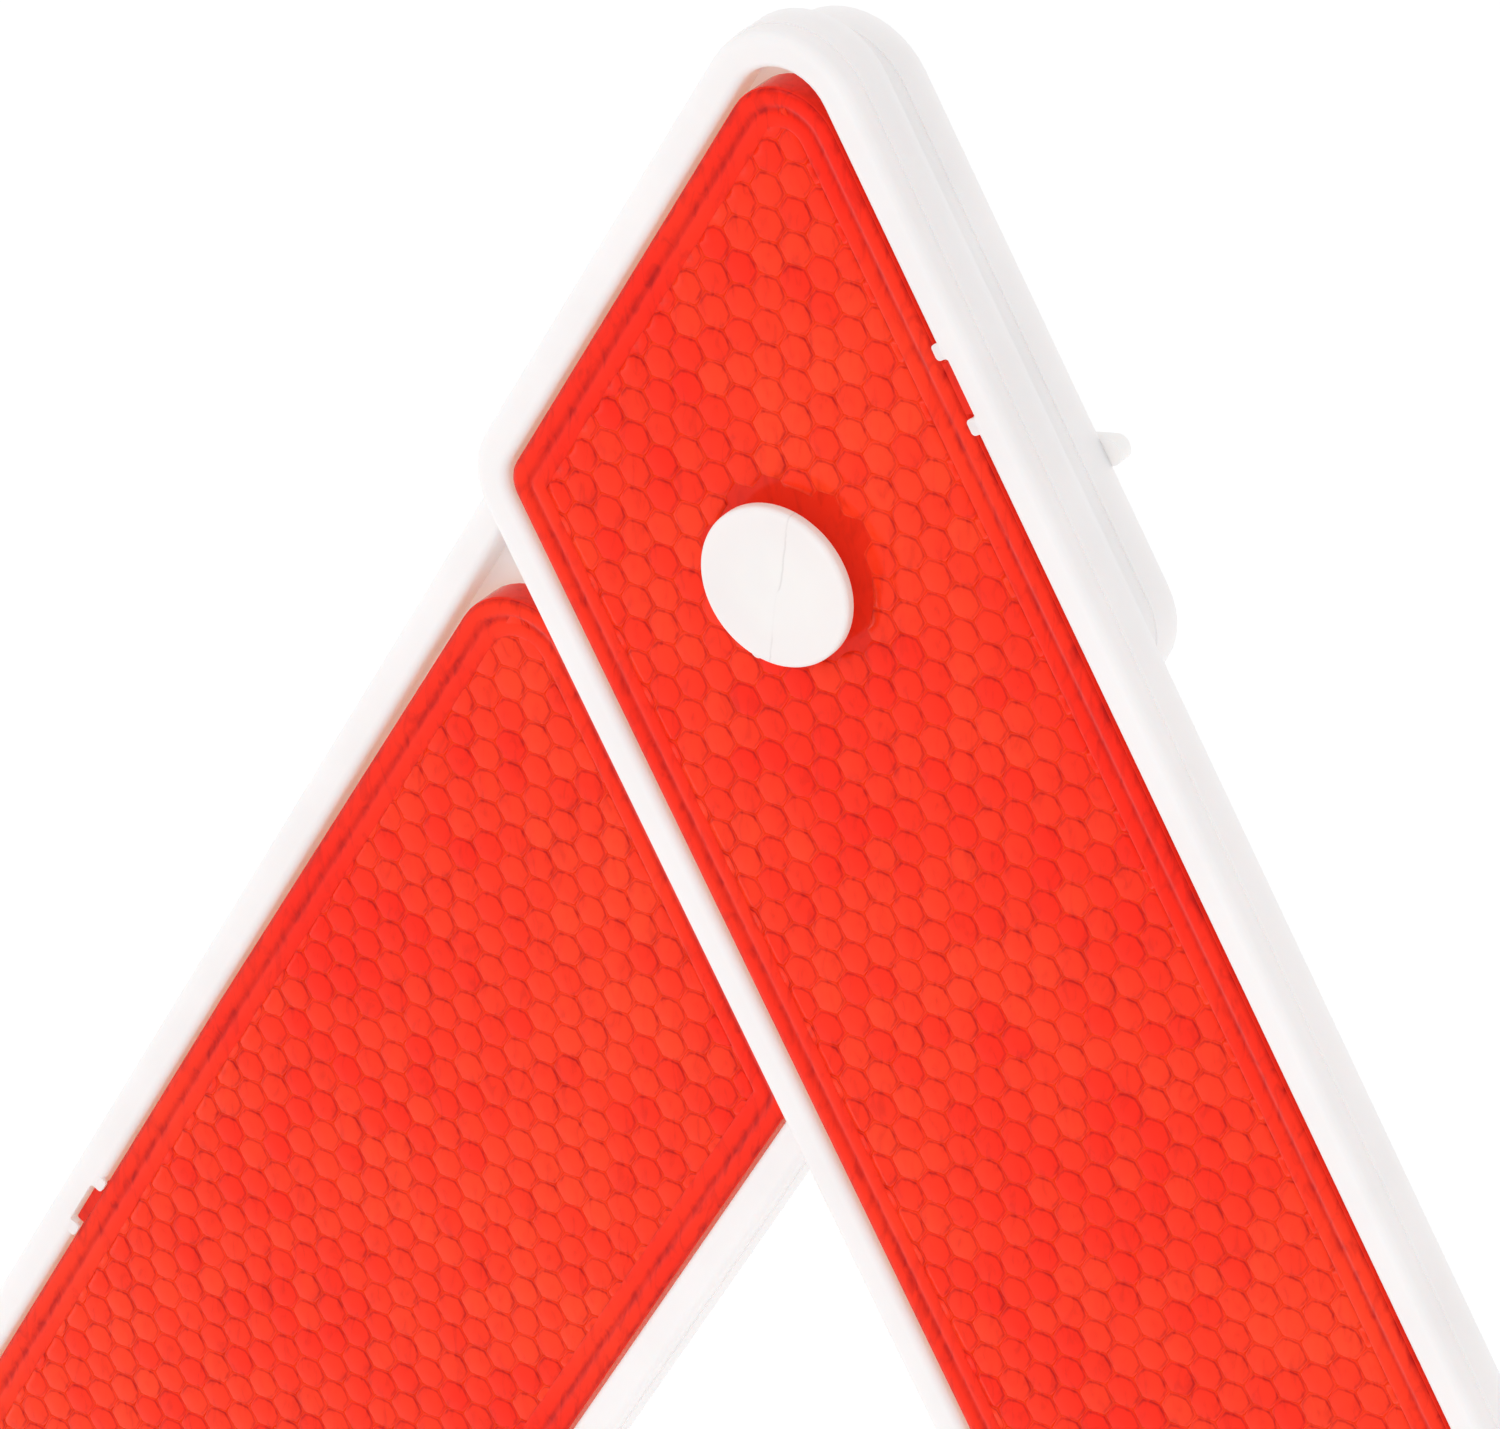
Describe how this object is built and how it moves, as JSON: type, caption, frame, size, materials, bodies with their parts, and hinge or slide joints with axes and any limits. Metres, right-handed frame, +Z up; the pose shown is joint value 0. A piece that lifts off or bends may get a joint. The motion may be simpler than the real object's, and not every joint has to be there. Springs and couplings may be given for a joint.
{
  "type": "folding warning triangle",
  "caption": "Folding breakdown warning triangle: white trays with red reflex lenses, arms that fold onto the base, an apex push button and swing-out feet.",
  "frame": {"origin": "on the ground, under the middle of the stand", "axes": "+X to the right along the base, +Y from the front to the back, +Z up"},
  "size_m": [0.4424, 0.1944, 0.3955],
  "materials": {
    "white_abs": "moulded white ABS, satin",
    "white_acetal": "moulded white acetal, satin",
    "red_lens": "moulded red PMMA reflex lens, glossy",
    "washer_nylon": "natural nylon, matt",
    "galvanised_steel": "zinc plated steel strip",
    "black_rubber": "moulded black rubber, matt"
  },
  "bodies": {
    "base": {"base_frame": "white_abs", "base_lens": "red_lens", "left_pivot_rivet": "white_acetal", "left_pivot_spacer": "washer_nylon", "right_pivot_rivet": "white_acetal", "right_pivot_spacer": "washer_nylon", "left_foot_rivet": "galvanised_steel", "left_foot_washer": "washer_nylon", "right_foot_rivet": "galvanised_steel", "right_foot_washer": "washer_nylon"},
    "left_arm": {"left_arm_frame": "white_abs", "left_arm_lens": "red_lens", "latch_receiver": "white_acetal"},
    "right_arm": {"right_arm_frame": "white_abs", "right_arm_lens": "red_lens", "button_guide": "white_acetal"},
    "button": {"latch_button": "white_acetal"},
    "left_foot": {"left_foot_bar": "galvanised_steel", "left_foot_pad_front": "black_rubber", "left_foot_pad_back": "black_rubber"},
    "right_foot": {"right_foot_bar": "galvanised_steel", "right_foot_pad_front": "black_rubber", "right_foot_pad_back": "black_rubber"}
  },
  "joints": [
    {"name": "left_arm_fold", "type": "hinge", "parent": "base", "child": "left_arm", "pos_m": [-0.1817, 0, 0.0366], "axis": [0, 1, 0], "range_deg": [0, 60]},
    {"name": "right_arm_fold", "type": "hinge", "parent": "base", "child": "right_arm", "pos_m": [0.1817, 0, 0.0366], "axis": [0, -1, 0], "range_deg": [0, 60]},
    {"name": "button_press", "type": "slide", "parent": "right_arm", "child": "button", "axis": [0, 1, 0], "range_m": [0, 0.0017]},
    {"name": "left_foot_swing", "type": "hinge", "parent": "base", "child": "left_foot", "pos_m": [-0.10384, 0, 0.005], "axis": [0, 0, 1], "range_deg": [0, 90]},
    {"name": "right_foot_swing", "type": "hinge", "parent": "base", "child": "right_foot", "pos_m": [0.10384, 0, 0.005], "axis": [0, 0, -1], "range_deg": [0, 90]}
  ]
}
